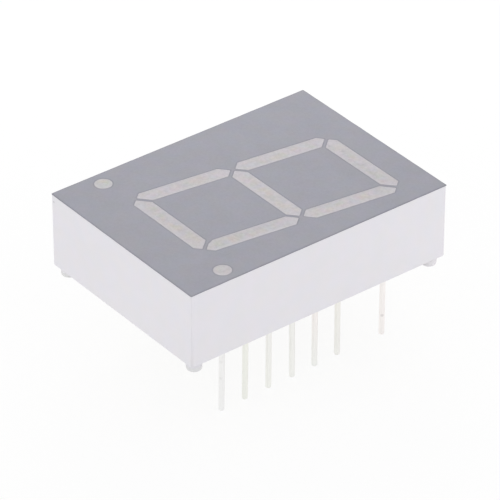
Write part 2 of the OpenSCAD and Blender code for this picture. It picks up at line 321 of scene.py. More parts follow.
# The cast of the tin on a lead in red, green and blue, by the board and at its free end. A lead
# that is not named has the tin of lead_12.
DIP_TINTS = {
    "lead_10": ((0.995, 0.995, 1.0), (0.985, 0.985, 1.0)),
    "lead_11": ((1.0, 1.005, 0.955), (0.965, 0.975, 0.935)),
    "lead_12": ((1.0, 0.99, 0.985), (0.985, 0.995, 0.965)),
    "lead_13": ((0.99, 0.995, 0.98), (0.99, 0.995, 0.98)),
    "lead_14": ((1.07, 1.0, 1.0), (0.975, 0.99, 0.975)),
    "lead_15": ((1.03, 1.015, 0.975), (0.97, 0.965, 0.945)),
    "lead_17": ((1.08, 1.045, 1.04), (1.05, 1.01, 1.005)),
    "lead_04": ((0.985, 0.99, 0.95), (0.97, 0.975, 0.94)),
    "lead_06": ((1.01, 0.985, 0.97), (0.985, 0.975, 0.955)),
}
# How far the end of a lead has been bent along its row.
BENDS = {"lead_10": -0.09, "lead_11": -0.08, "lead_12": -0.03, "lead_13": 0.05, "lead_17": -0.03}
# How much shorter than the longest one the shears left a lead.
CUT_SHORT = {"lead_11": 0.06, "lead_12": 0.12, "lead_13": 0.12, "lead_14": 0.22, "lead_15": 0.32,
             "lead_17": 0.32, "lead_03": 0.05, "lead_05": 0.1, "lead_07": 0.07}


# ---- Materials ----

# Millimetres between the bands of a wave texture whose scale is one.
WAVE = math.pi / 10


def linear(hex_colour):
    """The linear red, green and blue of an sRGB hex colour."""
    value = np.array([int(hex_colour[k:k + 2], 16) for k in (1, 3, 5)]) / 255
    return tuple(np.where(value <= 0.04045, value / 12.92, ((value + 0.055) / 1.055) ** 2.4))


def add(tree, kind, inputs=None, **settings):
    """Adds a node and gives its outputs. An input that is given a socket is linked to it, any
    other takes the value."""
    made = tree.nodes.new("ShaderNode" + kind)
    for name, value in settings.items():
        setattr(made, name, value)
    for name, value in (inputs or {}).items():
        if isinstance(value, bpy.types.NodeSocket):
            tree.links.new(value, made.inputs[name])
        else:
            made.inputs[name].default_value = value
    return made.outputs


def empty_tree(owner):
    """The node tree of a material or a world, with no nodes in it yet."""
    owner.use_nodes = True
    owner.node_tree.nodes.clear()
    return owner.node_tree


def start_material(name):
    """A material with its shader, and the place on the object in millimetres to drive patterns."""
    material = bpy.data.materials.new(name)
    tree = empty_tree(material)
    surface = add(tree, "BsdfPrincipled")[0]
    add(tree, "OutputMaterial", {"Surface": surface})
    place = add(tree, "TexCoord")["Object"]
    place = add(tree, "Mapping", {"Vector": place, "Scale": (1 / MM, 1 / MM, 1 / MM)})[0]
    return material, tree, surface.node, place


def tones(colour, *shifts):
    """A colour, as red, green, blue and one, times each of some factors."""
    return [tuple(min(1.0, c * s) for c, s in zip(colour, shift)) + (1.0,) for shift in shifts]


def casts(tree, place, size, low, high):
    """A faint uneven cast: red, green and blue factors that wander on their own from low to high,
    in patches of a size in millimetres."""
    patch = add(tree, "TexNoise", {"Vector": place, "Scale": 1 / size, "Detail": 0.0})
    # 7 and 8 are the range it comes from: noise lies mostly within 0.15 of a half.
    inputs = {6: patch["Color"], 7: (0.35,) * 3, 8: (0.65,) * 3, 9: low, 10: high}
    return add(tree, "MapRange", inputs, data_type="FLOAT_VECTOR")[1]


def marks(tree, place, spots):
    """The share of a colour that small round marks leave: the share of each in its middle, rising
    to one between 0.4 of its radius and the whole, and the shares of all of them multiplied."""
    left = 1.0
    for middle, radius, kept in spots:
        away = add(tree, "VectorMath", {0: place, 1: middle}, operation="DISTANCE")
        spot = add(tree, "MapRange", {"Value": away["Value"], "From Min": 0.4 * radius,
                                      "From Max": radius, "To Min": kept, "To Max": 1.0})
        left = add(tree, "Math", {0: left, 1: spot[0]}, operation="MULTIPLY")[0]
    return left


def dress(tree, shader, colour, factors, roughness, relief=None, strength=0.2, depth=0.02):
    """Gives a shader a colour times some factors, a roughness, and a relief whose depth is in
    millimetres."""
    for factor in factors:
        colour = add(tree, "Mix", {0: 1.0, 6: colour, 7: factor}, data_type="RGBA",
                     blend_type="MULTIPLY")[2]
    tree.links.new(colour, shader.inputs["Base Color"])
    if isinstance(roughness, float):
        shader.inputs["Roughness"].default_value = roughness
    else:
        tree.links.new(roughness, shader.inputs["Roughness"])
    if relief is not None:
        bump = add(tree, "Bump", {"Height": relief, "Strength": strength, "Distance": depth * MM})
        tree.links.new(bump[0], shader.inputs["Normal"])


def moulded_polycarbonate(colour):
    """White-filled polycarbonate, injection moulded in a finely eroded mould: opaque and pale,
    with a satin grain and the faintest cloudiness where the filler flowed, and painted shade that
    darkens the upright corners and greys the ends of the two lower feet."""
    material, tree, shader, place = start_material("Moulded_polycarbonate")
    cloud = add(tree, "TexNoise", {"Vector": place, "Scale": 1 / 4.0, "Detail": 3.0})
    dark, pale = tones(colour, (0.985, 0.982, 0.985), (1.012, 1.012, 1.012))
    tint = add(tree, "Mix", {0: cloud["Fac"], 6: dark, 7: pale}, data_type="RGBA")
    cast = casts(tree, place, 1.4, (0.993, 0.998, 0.99), (1.007, 1.002, 1.01))

    # Painted shade on the feet's ends: greyest at the floor, gone above 0.6, and on the feet at -Y
    # only.
    axes = add(tree, "SeparateXYZ", {0: place})
    rise = add(tree, "MapRange", {"Value": axes["Z"], "From Min": 0.0, "From Max": 0.25})
    foot_shade = add(tree, "Mix", {
        0: rise[0], 6: (0.855, 0.868, 0.828, 1.0), 7: (0.95, 0.965, 0.92, 1.0)}, data_type="RGBA")
    above = add(tree, "MapRange", {"Value": axes["Z"], "From Min": 0.4, "From Max": 0.6})
    upper = add(tree, "MapRange", {"Value": axes["Y"], "From Min": -5.0, "From Max": 5.0})
    unshaded = add(tree, "Math", {0: above[0], 1: upper[0]}, operation="MAXIMUM")
    feet = add(tree, "Mix", {0: unshaded[0], 6: foot_shade[2], 7: (1.0,) * 4}, data_type="RGBA")

    # Painted shade along the upright corners: the nearer a point is to both faces beside one, the
    # darker it is.
    out = add(tree, "VectorMath", {0: place}, operation="ABSOLUTE")["Vector"]
    out = add(tree, "SeparateXYZ", {0: out})
    near = [add(tree, "MapRange", {"Value": out[axis], "From Min": reach - 0.16,
                                   "From Max": reach - 0.08})
            for axis, reach in (("X", cad_high[0] / MM), ("Y", cad_high[1] / MM))]
    both = add(tree, "Math", {0: near[0][0], 1: near[1][0]}, operation="MINIMUM")
    corner = add(tree, "MapRange", {"Value": both[0], "To Min": 1.0, "To Max": 0.93})
    speck = marks(tree, place, WALL_SPECK)

    # The grain is about 0.03 mm in the mould, and is drawn at 0.12 mm so that it shows.
    grain = add(tree, "TexNoise", {"Vector": place, "Scale": 1 / 0.12, "Detail": 2.0})
    rough = add(tree, "MapRange", {"Value": grain["Fac"], "To Min": 0.42, "To Max": 0.54})
    factors = (cast, feet[2], corner[0], speck)
    dress(tree, shader, tint[2], factors, rough[0], grain["Fac"], 0.12)
    shader.inputs["IOR"].default_value = 1.58
    return material


def screen_ink(colour):
    """Matt screen ink on a moulding: an even grey with a fine dry speckle, and painted shade that
    darkens it in a narrow band along each printed edge."""
    material, tree, shader, place = start_material("Screen_ink")
    # The pigment's speckle is drawn at 0.2 mm, coarser than it is, so that it shows.
    speckle = add(tree, "TexNoise", {
        "Vector": place, "Scale": 1 / 0.2, "Detail": 3.0, "Roughness": 0.7})["Fac"]
    cloud = add(tree, "TexNoise", {"Vector": place, "Scale": 1 / 2.5, "Detail": 2.0})
    both = add(tree, "Mix", {0: 0.3, 2: speckle, 3: cloud["Fac"]})
    dark, pale = tones(colour, (0.82, 0.81, 0.82), (1.17, 1.17, 1.17))
    tint = add(tree, "Mix", {0: both[0], 6: dark, 7: pale}, data_type="RGBA")
    cast = casts(tree, place, 1.1, (0.984, 0.994, 0.978), (1.016, 1.006, 1.022))
    # Painted shade: within 0.05 of a printed edge the ink keeps 0.8 of its colour, rising to all of
    # it at 0.24.
    edge = add(tree, "Attribute", attribute_name="edge_distance")
    band = add(tree, "MapRange", {
        "Value": edge["Fac"], "From Min": 0.05, "From Max": 0.24, "To Min": 0.8, "To Max": 1.0})
    rough = add(tree, "MapRange", {"Value": speckle, "To Min": 0.5, "To Max": 0.66})
    dress(tree, shader, tint[2], (cast, band[0]), rough[0], speckle, 0.15, 0.03)
    return material


def diffusing_epoxy(colour):
    """Epoxy with a diffusing powder, cast in a white well: a milky warm grey that is grainy where
    the powder clumps, and paler and cooler at its rim and ends, where the well is shallow."""
    material, tree, shader, place = start_material("Diffusing_epoxy")
    # The powder's clumps are 0.05 to 0.2 mm wide, and are drawn at 0.28 mm so that they show.
    clump = add(tree, "TexNoise", {
        "Vector": place, "Scale": 1 / 0.28, "Detail": 3.0, "Roughness": 0.65})
    clump = add(tree, "MapRange", {"Value": clump["Fac"], "From Min": 0.35, "From Max": 0.65})[0]
    dark, pale = tones(colour, (0.92, 0.915, 0.91), (1.08, 1.08, 1.085))
    deep = add(tree, "Mix", {0: clump, 6: dark, 7: pale}, data_type="RGBA")[2]
    cast = casts(tree, place, 0.8, (0.94, 0.967, 0.915), (1.06, 1.033, 1.085))
    batch = add(tree, "Attribute", attribute_name="batch_tint")["Color"]
    for factor in (cast, batch):
        deep = add(tree, "Mix", {0: 1.0, 6: deep, 7: factor}, data_type="RGBA",
                   blend_type="MULTIPLY")[2]
    dark, pale = tones(colour, (1.018, 1.037, 1.109), (1.102, 1.123, 1.201))
    thin = add(tree, "Mix", {0: clump, 6: dark, 7: pale}, data_type="RGBA")[2]
    shallow = add(tree, "Attribute", attribute_name="shallow")["Fac"]
    tint = add(tree, "Mix", {0: shallow, 6: deep, 7: thin}, data_type="RGBA")
    # A few grains of powder lie dark at the surface, most of a millimetre apart, and some clots.
    speck = add(tree, "TexVoronoi", {"Vector": place, "Scale": 1 / 0.9})
    grain = add(tree, "MapRange", {"Value": speck["Distance"], "From Min": 0.03,
                                   "From Max": 0.10, "To Min": 0.88, "To Max": 1.0})
    clots = marks(tree, place, EPOXY_CLOTS)
    fine = add(tree, "TexNoise", {"Vector": place, "Scale": 1 / 0.15, "Detail": 2.0})
    dress(tree, shader, tint[2], (grain[0], clots), 0.42, fine["Fac"], 0.15, 0.03)
    shader.inputs["IOR"].default_value = 1.53
    return material


def tinned_copper(colour):
    """Drawn copper wire dipped in tin: a pale dull metal with streaks along the wire, warm or
    greenish casts that differ from lead to lead, and a dull pit here and there."""
    material, tree, shader, place = start_material("Tinned_copper")
    # Streaks are 0.08 mm wide and ten times as long, and the tin's casts 2 mm and eight times.
    along = add(tree, "Mapping", {"Vector": place, "Scale": (12.0, 12.0, 1.2)})[0]
    streak = add(tree, "TexNoise", {"Vector": along, "Scale": 1.0, "Detail": 3.0})["Fac"]
    along = add(tree, "Mapping", {"Vector": place, "Scale": (1.0, 1.0, 0.12)})[0]
    cast = add(tree, "TexNoise", {"Vector": along, "Scale": 0.45, "Detail": 1.0})["Fac"]
    warm, cool = tones(colour, (1.0, 0.99, 0.97), (0.99, 0.995, 1.0))
    tint = add(tree, "Mix", {0: cast, 6: warm, 7: cool}, data_type="RGBA")
    level = add(tree, "MapRange", {
        "Value": streak, "From Min": 0.3, "From Max": 0.7, "To Min": 0.95, "To Max": 1.0})
    dip = add(tree, "Attribute", attribute_name="dip_tint")
    rough = add(tree, "MapRange", {"Value": streak, "To Min": 0.28, "To Max": 0.46})
    factors = (level[0], dip["Color"], marks(tree, place, LEAD_PITS))
    dress(tree, shader, tint[2], factors, rough[0], streak)
    shader.inputs["Metallic"].default_value = 1.0
    return material


def sealing_epoxy(colour):
    """Unfilled potting epoxy over a board: milky and slightly yellow, glossy, with soft clouds, a
    few small bubbles, a paler skirt where it climbs, and the board's copper faintly showing."""
    material, tree, shader, place = start_material("Sealing_epoxy")
    cloud = add(tree, "TexNoise", {"Vector": place, "Scale": 1 / 3.0, "Detail": 4.0})
    cloud = add(tree, "MapRange", {"Value": cloud["Fac"], "From Min": 0.3, "From Max": 0.7})
    deep, thin, coppery, skirt = tones(colour, (0.9, 0.88, 0.82), (1.07, 1.07, 1.09),
                                       (0.82, 0.7, 0.55), (1.12, 1.13, 1.2))
    tint = add(tree, "Mix", {0: cloud[0], 6: deep, 7: thin}, data_type="RGBA")
    for name, tone in (("over_copper", coppery), ("climbing", skirt)):
        share = add(tree, "Attribute", attribute_name=name)["Fac"]
        tint = add(tree, "Mix", {0: share, 6: tint[2], 7: tone}, data_type="RGBA")
    bubble = add(tree, "TexVoronoi", {"Vector": place, "Scale": 1 / 1.6})
    ring = add(tree, "MapRange", {"Value": bubble["Distance"], "From Min": 0.05,
                                  "From Max": 0.11, "To Min": 0.82, "To Max": 1.0})[0]
    dress(tree, shader, tint[2], (ring,), 0.22, ring, 0.3, 0.03)
    shader.inputs["IOR"].default_value = 1.55
    return material


def glass_epoxy_laminate(colour):
    """Glass cloth pressed in epoxy: a pale green-yellow board whose weave shows as a fine check."""
    material, tree, shader, place = start_material("Glass_epoxy_laminate")
    # Threads of the cloth lie 0.404 mm apart.
    warp, weft = (add(tree, "TexWave", {"Vector": place, "Scale": WAVE / 0.404},
                      bands_direction=way)["Fac"] for way in "XY")
    weave = add(tree, "Math", {0: warp, 1: weft}, operation="MULTIPLY")[0]
    dark, pale = tones(colour, (0.86, 0.88, 0.8), (1.06, 1.05, 1.05))
    tint = add(tree, "Mix", {0: weave, 6: dark, 7: pale}, data_type="RGBA")
    dress(tree, shader, tint[2], (), 0.38, weave)
    return material


def bare_metal(name, colour, roughness, grain):
    """A bare metal with a fine uneven surface: etched copper is dull and slightly brown in
    places, fresh solder is bright and rippled, and bonding gold is drawn smooth."""
    material, tree, shader, place = start_material(name)
    patch = add(tree, "TexNoise", {"Vector": place, "Scale": 1 / grain, "Detail": 3.0})["Fac"]
    dark, pale = tones(colour, (0.85, 0.82, 0.8), (1.08, 1.08, 1.08))
    tint = add(tree, "Mix", {0: patch, 6: dark, 7: pale}, data_type="RGBA")
    rough = add(tree, "MapRange", {
        "Value": patch, "To Min": roughness * 0.8, "To Max": roughness * 1.25})
    dress(tree, shader, tint[2], (), rough[0], patch)
    shader.inputs["Metallic"].default_value = 1.0
    return material


def sawn_semiconductor(colour):
    """A bare chip of gallium phosphide: dark red-brown and glassy, with fine saw lines."""
    material, tree, shader, place = start_material("Gallium_phosphide_chip")
    # The saw leaves a line every 0.027 mm.
    saw = add(tree, "TexWave", {"Vector": place, "Scale": WAVE / 0.027, "Distortion": 1.5},
              bands_direction="Z")["Fac"]
    dark, pale = tones(colour, (0.8, 0.75, 0.75), (1.2, 1.2, 1.2))
    tint = add(tree, "Mix", {0: saw, 6: dark, 7: pale}, data_type="RGBA")
    dress(tree, shader, tint[2], (), 0.25)
    shader.inputs["IOR"].default_value = 3.3
    return material


# ---- Settings ----

def length_setting(name, description, default):
    """A length, from a default in millimetres."""
    return FloatProperty(name=name, description=description, default=default * MM, min=0.0,
                         unit="LENGTH", precision=5)


def angle_setting(name, description, default):
    """An angle, from a default in degrees."""
    return FloatProperty(name=name, description=description, default=math.radians(default),
                         subtype="ANGLE")


def colour_setting(name, description, default):
    """A colour, from a default in sRGB hex."""
    return FloatVectorProperty(name=name, description=description, default=linear(default),
                               min=0.0, max=1.0, size=3, subtype="COLOR")


class DisplaySizes(bpy.types.PropertyGroup):
    """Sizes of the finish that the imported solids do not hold."""

    edge_radius: length_setting("Edge rounding", "Rounding of the moulding's edges", 0.05)
    window_radius: length_setting("Window corners", "Radius of a printed window's corners", 0.11)
    ink_wander: length_setting("Ink wander", "How far the printed outline leaves the edge", 0.03)
    dish: length_setting("Dish", "How far the middle of a cast window lies below its edge", 0.015)
    lead_diameter: length_setting("Lead diameter", "Diameter of a lead below the seal", 0.52)
    tip_length: length_setting("Tip length", "Length of the rounded end of a lead", 0.2)
    climb: length_setting("Climb", "How far the seal climbs the walls and posts as it sets", 0.1)
    post_diameter: length_setting("Post diameter", "Diameter of the posts that carry the feet", 1.4)
    post_inset: length_setting("Post inset", "Middle of a post from the faces beside it", 1.0)


class DisplayColours(bpy.types.PropertyGroup):
    """Colours of the display's materials."""

    moulding: colour_setting("Moulding", "White-filled polycarbonate of the housing", "#E5E3E8")
    ink: colour_setting("Ink", "Screen ink on the face", "#9D9DA7")
    epoxy: colour_setting("Epoxy", "Diffusing epoxy in the windows", "#B1ACAD")
    tin: colour_setting("Tin", "Tin on the leads", "#F7F7F6")
    seal: colour_setting("Seal", "Potting epoxy behind the board", "#DCD8CC")
    board: colour_setting("Board", "Glass-epoxy laminate", "#C7CBA6")
    copper: colour_setting("Copper", "Etched copper", "#D9976B")
    solder: colour_setting("Solder", "Solder round the leads", "#C9CBCE")
    chip: colour_setting("Chip", "Semiconductor chips", "#6E3A34")
    gold: colour_setting("Gold", "Bond wires", "#E2B75E")


class DisplayStage(bpy.types.PropertyGroup):
    """Camera, lamps and floor."""

    azimuth: angle_setting("Azimuth", "Camera's turn from the lower end to the right side", 52.0)
    elevation: angle_setting("Elevation", "Camera's angle above the floor", 33.82)
    roll: angle_setting("Roll", "Camera's turn about its own line of sight", 0.05)
    distance: length_setting("Distance", "Camera from the point that it looks at", 356.8)
    lens: FloatProperty(
        name="Lens", description="Focal length on a 36 mm sensor",
        default=294.1, min=1.0, subtype="DISTANCE_CAMERA")
    aim: FloatVectorProperty(
        name="Aim", description="Point that the camera looks at",
        default=(-0.13 * MM, 0.19 * MM, 1.83 * MM), size=3, subtype="XYZ", unit="LENGTH",
        precision=5)
    sky: FloatProperty(
        name="Sky", description="Level of the light from all round", default=0.72, min=0.0)
    lamp: FloatProperty(
        name="Lamps", description="Power of each soft lamp, in watts", default=0.052, min=0.0)
    shadow: FloatProperty(
        name="Shadow", description="Share of the shadow that the white floor keeps",
        default=0.12, min=0.0, max=1.0, subtype="FACTOR")


# ---- Windows ----

def with_run(name, ring, share=1.0):
    """A segment's corners, one of them cut off where the ink has run over it."""
    if name not in INK_RUNS:
        return ring
    corner, before, after = INK_RUNS[name]
    here = ring[corner]
    cut = [here + unit(ring[corner - 1] - here) * before * share,
           here + unit(ring[corner + 1] - here) * after * share]
    return np.concatenate([ring[:corner], cut, ring[corner + 1:]])


def window_corners():
    """The corners of each segment's window on the face."""
    segments = {}
    for name in sorted(nodes):
        if name.startswith("segment_"):
            points = node_points(name)
            segments[name] = with_run(name, corner_ring(points, points[:, 2].max()))
    return segments


def point_windows():
    """The middle and radius of each decimal point's window on the face."""
    found = {}
    for name in ("decimal_point_left", "decimal_point_right"):
        low, high = box(name)
        found[name] = ((low + high)[:2] / 2, (high - low)[0] / 2)
    return found


def cast_epoxy(name, rings, dip, material, top=None):
    """Casts the epoxy of a window through rings, the last of which dip below its edge at some
    distances from it. Its shallow share falls evenly from 0.75 at 0.15 from that edge to 0.11
    near 0.36 and, where a long window's corners are given, rises to one from two thirds of the
    way to each end."""
    points, faces = skin(rings)
    piece = add_piece(name + "_epoxy", points, faces, material, [name])
    rim = [1.0] * (len(rings) - len(dip)) + [1 - (d - 0.15) / 0.25 for d, _ in dip]
    rim = np.repeat(rim, rings.shape[1]).clip(0.15, 1)
    shallow = 0.75 * np.append(rim, [0.15, 0.15])
    if top is not None:
        middle = top.mean(0)
        along = unit(top[np.argmax(np.linalg.norm(top - middle, axis=1))] - middle)
        reach = np.abs((top - middle) @ along).max()
        share = np.abs((points[:, :2] - middle) @ along) / reach
        shallow = np.maximum(((share - 0.66) / 0.34).clip(0, 1), shallow)
    paint(piece, "shallow", shallow)
    paint(piece, "batch_tint", np.tile(BATCH_TINTS[name], (len(points), 1)))


# ---- Operators ----

class DISPLAY_OT_housing(bpy.types.Operator):
    """Finish the moulded housing: a satin grain, and every sharp edge eased as a mould leaves it"""

    bl_idname = "display.housing"
    bl_label = "Housing"

    def execute(self, context):
        mesh = nodes["housing"].data.copy()
        mesh.materials.clear()
        mesh.materials.append(moulded_polycarbonate(context.scene.display_colours.moulding))
        housing = new_object("moulded_housing", mesh)
        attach(housing, "root")
        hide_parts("housing")
        # Corners at one place are joined first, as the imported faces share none.
        housing.modifiers.new("Join_corners", "WELD").merge_threshold = 0.0005 * MM
        flat = housing.modifiers.new("Join_flat_faces", "DECIMATE")
        flat.decimate_type = "DISSOLVE"
        flat.angle_limit = math.radians(0.5)
        ease = housing.modifiers.new("Ease_edges", "BEVEL")
        ease.width = context.scene.display_sizes.edge_radius
        ease.segments = 2
        ease.limit_method = "ANGLE"
        ease.angle_limit = math.radians(50)
        ease.use_clamp_overlap = False
        ease.harden_normals = True
        return {"FINISHED"}


class DISPLAY_OT_face(bpy.types.Operator):
    """Print the face: a film of ink with a window over each well, rounded at its edges, whose
    outline wanders slightly along the edges of the moulding"""

    bl_idname = "display.face"
    bl_label = "Printed face"

    def execute(self, context):
        sizes = context.scene.display_sizes
        low, high = box("face_coat")
        wander, radius = sizes.ink_wander / MM, sizes.window_radius / MM
        corners = np.array([low[:2], [high[0], low[1]], high[:2], [low[0], high[1]]])

        def outer(inset):
            """The film's outline, set in. Points within 0.4 of a side drift inwards from it."""
            ring = divided(rounded_ring(corners, inset, max(0.1 - inset, 0.01), 9), INK_STEP)
            side = np.sign(ring) * (np.abs(ring) > high[:2] - 0.4)
            drift = wander * (0.5 + 0.5 * unevenness(ring[:, 0], ring[:, 1], 1.7))
            return ring - side * drift[:, None]

        rings = [[outer(d) for d in INK_ROWS]]
        for ring in window_corners().values():
            rings.append([divided(rounded_ring(ring, -d, radius + d), INK_STEP) for d in INK_ROWS])
        for middle, size in point_windows().values():
            rings.append([circle(middle, size + d, POINT_SIDES) for d in INK_ROWS])
        loops = [each[0] for each in rings]
        free = []
        for k, row in enumerate(INK_ROWS[1:], 1):
            ring = np.concatenate([each[k] for each in rings])
            free.append(ring[distance(loops, ring) > CLEAR * row])
        points, triangles = region(loops, np.concatenate(free))
        edge = distance(loops, points)
        # The ink thins by a third at its edge, and has its full height 0.05 from it.
        fall = 0.35 * (high[2] - low[2]) * (1 - edge / 0.05).clip(0) ** 2
        points, faces = slab_mesh(points, triangles, np.full(len(points), low[2]), high[2] - fall)
        piece = add_piece("printed_face", points, faces,
                          screen_ink(context.scene.display_colours.ink), ["face_coat"])
        paint(piece, "edge_distance", np.tile(edge, 2))
        return {"FINISHED"}


class DISPLAY_OT_windows(bpy.types.Operator):
    """Cast the seven segments and two decimal points: epoxy that fills each well from the board
    to the face, and sets with a very shallow dish in its window"""

    bl_idname = "display.windows"
    bl_label = "Segments and points"

    def execute(self, context):
        sizes = context.scene.display_sizes
        radius, dish = sizes.window_radius / MM, sizes.dish / MM
        material = diffusing_epoxy(context.scene.display_colours.epoxy)
        film_low, film_high = (corner[2] for corner in box("face_coat"))
        # Distances from a window's edge, and how far the epoxy lies below the film there.
        dip = ((0.0, 0.008), (0.02, 0.002), (0.06, 0.2 * dish), (0.12, 0.6 * dish),
               (0.22, 0.9 * dish), (0.42, dish))
        for name, top in window_corners().items():
            points = node_points(name)
            levels = np.unique(points[:, 2].round(2))
            land = with_run(name, corner_ring(points, levels[-2]), 0.1)
            cup = with_run(name, corner_ring(points, levels[-3]), 0.1)
            # The corners, their inset, their rounding and the height, ring by ring.
            stack = [(cup, 0.0, 0.02, levels[0]), (cup, 0.0, 0.02, levels[-3]),
                     (land, 0.0, 0.02, levels[-2]), (top, 0.0, 0.02, film_low),
                     (top, 0.0, radius, film_low)]
            stack += [(top, d, radius * (1 - d / 0.5), film_high - fall) for d, fall in dip]
            rings = np.stack([at_height(rounded_ring(corners, inset, rounding), z)
                              for corners, inset, rounding, z in stack])
            cast_epoxy(name, rings, dip, material, top)
        for name, (middle, size) in point_windows().items():
            points = node_points(name)
            levels = np.unique(points[:, 2].round(2))
            reach = np.linalg.norm(points[:, :2] - middle, axis=1)
            cup = reach[points[:, 2] < levels[0] + NEAR].max()
            cup_top = points[(np.abs(reach - cup) < NEAR) & (points[:, 2] < levels[-2]), 2].max()
            stack = [(cup, levels[0]), (cup, cup_top), (size, levels[-2]), (size, film_low)]
            stack += [(size - d, film_high - fall) for d, fall in dip]
            rings = np.stack([at_height(circle(middle, r, POINT_SIDES), z) for r, z in stack])
            cast_epoxy(name, rings, dip, material)
        return {"FINISHED"}


class DISPLAY_OT_leads(bpy.types.Operator):
    """Draw the thirteen leads: a round tinned wire with a rounded end and a slightly uneven
    skin, which turns into the square shank that is pressed through the board"""

    bl_idname = "display.leads"
    bl_label = "Leads"

    def execute(self, context):
        sizes = context.scene.display_sizes
        material = tinned_copper(context.scene.display_colours.tin)
        radius, tip = sizes.lead_diameter / MM / 2, sizes.tip_length / MM
        angle = np.arange(LEAD_SIDES) * 2 * np.pi / LEAD_SIDES
        # The rounded end is a quarter of an ellipse, from just beside its pole.
        turn = np.linspace(0.12, np.pi / 2, 7)
        for name in sorted(n for n in nodes if n.startswith("lead_")):
            points, (low, high) = node_points(name), box(name)
            middle, half = (low + high)[:2] / 2, (high - low)[0] / 2
            # The shank starts at the lowest of the points that lie out at its sides.
            shank = points[np.abs(points[:, 0] - middle[0]) > half - 0.005, 2].min()
            end = low[2] + CUT_SHORT.get(name, 0.0)
            z = np.concatenate([end + tip * (1 - np.cos(turn)),
                                np.linspace(end + tip, shank - 0.02, 40)[1:],
                                [shank, shank + 0.05, high[2]]])
            r = np.append(radius * np.sin(turn), np.full(len(z) - len(turn), radius))
            # The last two rings are square. A square ring of half width h at angle t has the
            # radius h / max(|cos t|, |sin t|).
            square = np.append(np.zeros(len(z) - 2), np.ones(2))[:, None]
            flat = half / np.maximum(np.abs(np.cos(angle)), np.abs(np.sin(angle)))
            wave = 0.006 * unevenness(z[:, None], np.cos(angle) * 0.6 + middle[1], 1.3)
            reach = r[:, None] * (1 + wave) * (1 - square) + flat * square
            below = ((shank - z) / (shank - low[2])).clip(0, 1)
            y = middle[1] + BENDS.get(name, 0.0) * below ** 1.5
            rings = np.stack([middle[0] + reach * np.cos(angle),
                              y[:, None] + reach * np.sin(angle),
                              np.broadcast_to(z[:, None], reach.shape)], -1)
            points, faces = skin(rings)
            piece = add_piece(name + "_wire", points, faces, material, [name])
            near, far = np.array(DIP_TINTS.get(name, DIP_TINTS["lead_12"]))
            # The tin's cast changes evenly from the free end to 2.0, inside the seal.
            along = ((points[:, 2] - low[2]) / (2.0 - low[2])).clip(0, 1)[:, None]
            paint(piece, "dip_tint", far + (near - far) * along)
        return {"FINISHED"}


class DISPLAY_OT_seal(bpy.types.Operator):
    """Pour the seal: epoxy that covers the board between the walls, and creeps up the walls, the
    posts and the leads before it sets"""

    bl_idname = "display.seal"
    bl_label = "Seal"

    def execute(self, context):
        sizes = context.scene.display_sizes
        low, high = box("seal")
        wall = high[:2]
        post = box("housing")[1][:2] - sizes.post_inset / MM
        post_r, lead_r = sizes.post_diameter / MM / 2, sizes.lead_diameter / MM / 2
        # A post's circle meets the wall beside it this far from the post's middle.
        meet = np.sqrt(post_r ** 2 - (wall - post) ** 2)
        start = np.arctan2(-meet[0], wall[0] - post[0])
        sweep = -start + np.arctan2(wall[1] - post[1], -meet[1])
        turn = start - np.linspace(0, 2 * np.pi - sweep, 22)
        arc = post + post_r * np.stack([np.cos(turn), np.sin(turn)], -1)
        ring = divided(np.concatenate([arc * (1, 1), arc[::-1] * (-1, 1), arc * (-1, -1),
                                       arc[::-1] * (1, -1)]), SEAL_STEP)
        boxes = [box(name) for name in sorted(nodes) if name.startswith("lead_")]
        leads = [(lowest + highest)[:2] / 2 for lowest, highest in boxes]
        loops = [ring] + [circle(middle, lead_r, HOLE_SIDES) for middle in leads]
        free = []
        for row in SEAL_ROWS:
            rings = [divided(rounded_ring(SIGNS * wall, row, 0.02, 2), SEAL_STEP)]
            rings += [circle(middle, lead_r + row, HOLE_SIDES) for middle in leads]
            rings += [circle(post * sign, post_r + row, POINT_SIDES)
                      for sign in SIGNS[[2, 3, 0, 1]]]
            rings = np.concatenate(rings)
            free.append(rings[inside(ring, rings) & (distance(loops, rings) > CLEAR * row)])
        # A grid fills the open surface, where no edge is nearer than 0.75.
        grid = np.stack(np.meshgrid(*(np.arange(-reach, reach, 0.35) for reach in wall)), -1)
        grid = grid.reshape(-1, 2)
        free.append(grid[inside(ring, grid) & (distance(loops, grid) > 0.75)])
        points, triangles = region(loops, np.concatenate(free))

        # The surface lies 0.02 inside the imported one. It climbs by exp(-distance / 0.22) of the
        # whole at the walls and by 0.8 exp(-distance / 0.1) at the leads, and swells between.
        from_walls, from_leads = distance(loops[:1], points), distance(loops[1:], points)
        climb = sizes.climb / MM
        rise = climb * np.exp(-from_walls / 0.22) + 0.8 * climb * np.exp(-from_leads / 0.1)
        swell = 0.012 * unevenness(points[:, 0], points[:, 1], 5.0)
        swell = swell * (1 - np.exp(-from_walls / 0.5))
        surface = low[2] + 0.02 + swell - rise
        skirt = np.maximum(np.exp(-from_walls / 0.3), 0.6 * np.exp(-from_leads / 0.25))
        mesh_points, faces = slab_mesh(points, triangles, surface, np.full(len(points), high[2]))
        material = sealing_epoxy(context.scene.display_colours.seal)
        piece = add_piece("poured_seal", mesh_points, faces, material, ["seal"], 50)
        paint(piece, "climbing", np.tile(skirt, 2))
        # The milky epoxy blurs the copper behind it: the share that it backs of nine points, each
        # point and eight round it at 0.2.
        looks = np.concatenate([[(0.0, 0.0)], circle((0, 0), 0.2, 8)])
        copper = np.mean([backed(points + look, "back_copper") for look in looks], 0)
        paint(piece, "over_copper", 0.6 * np.tile(copper, 2))
        return {"FINISHED"}


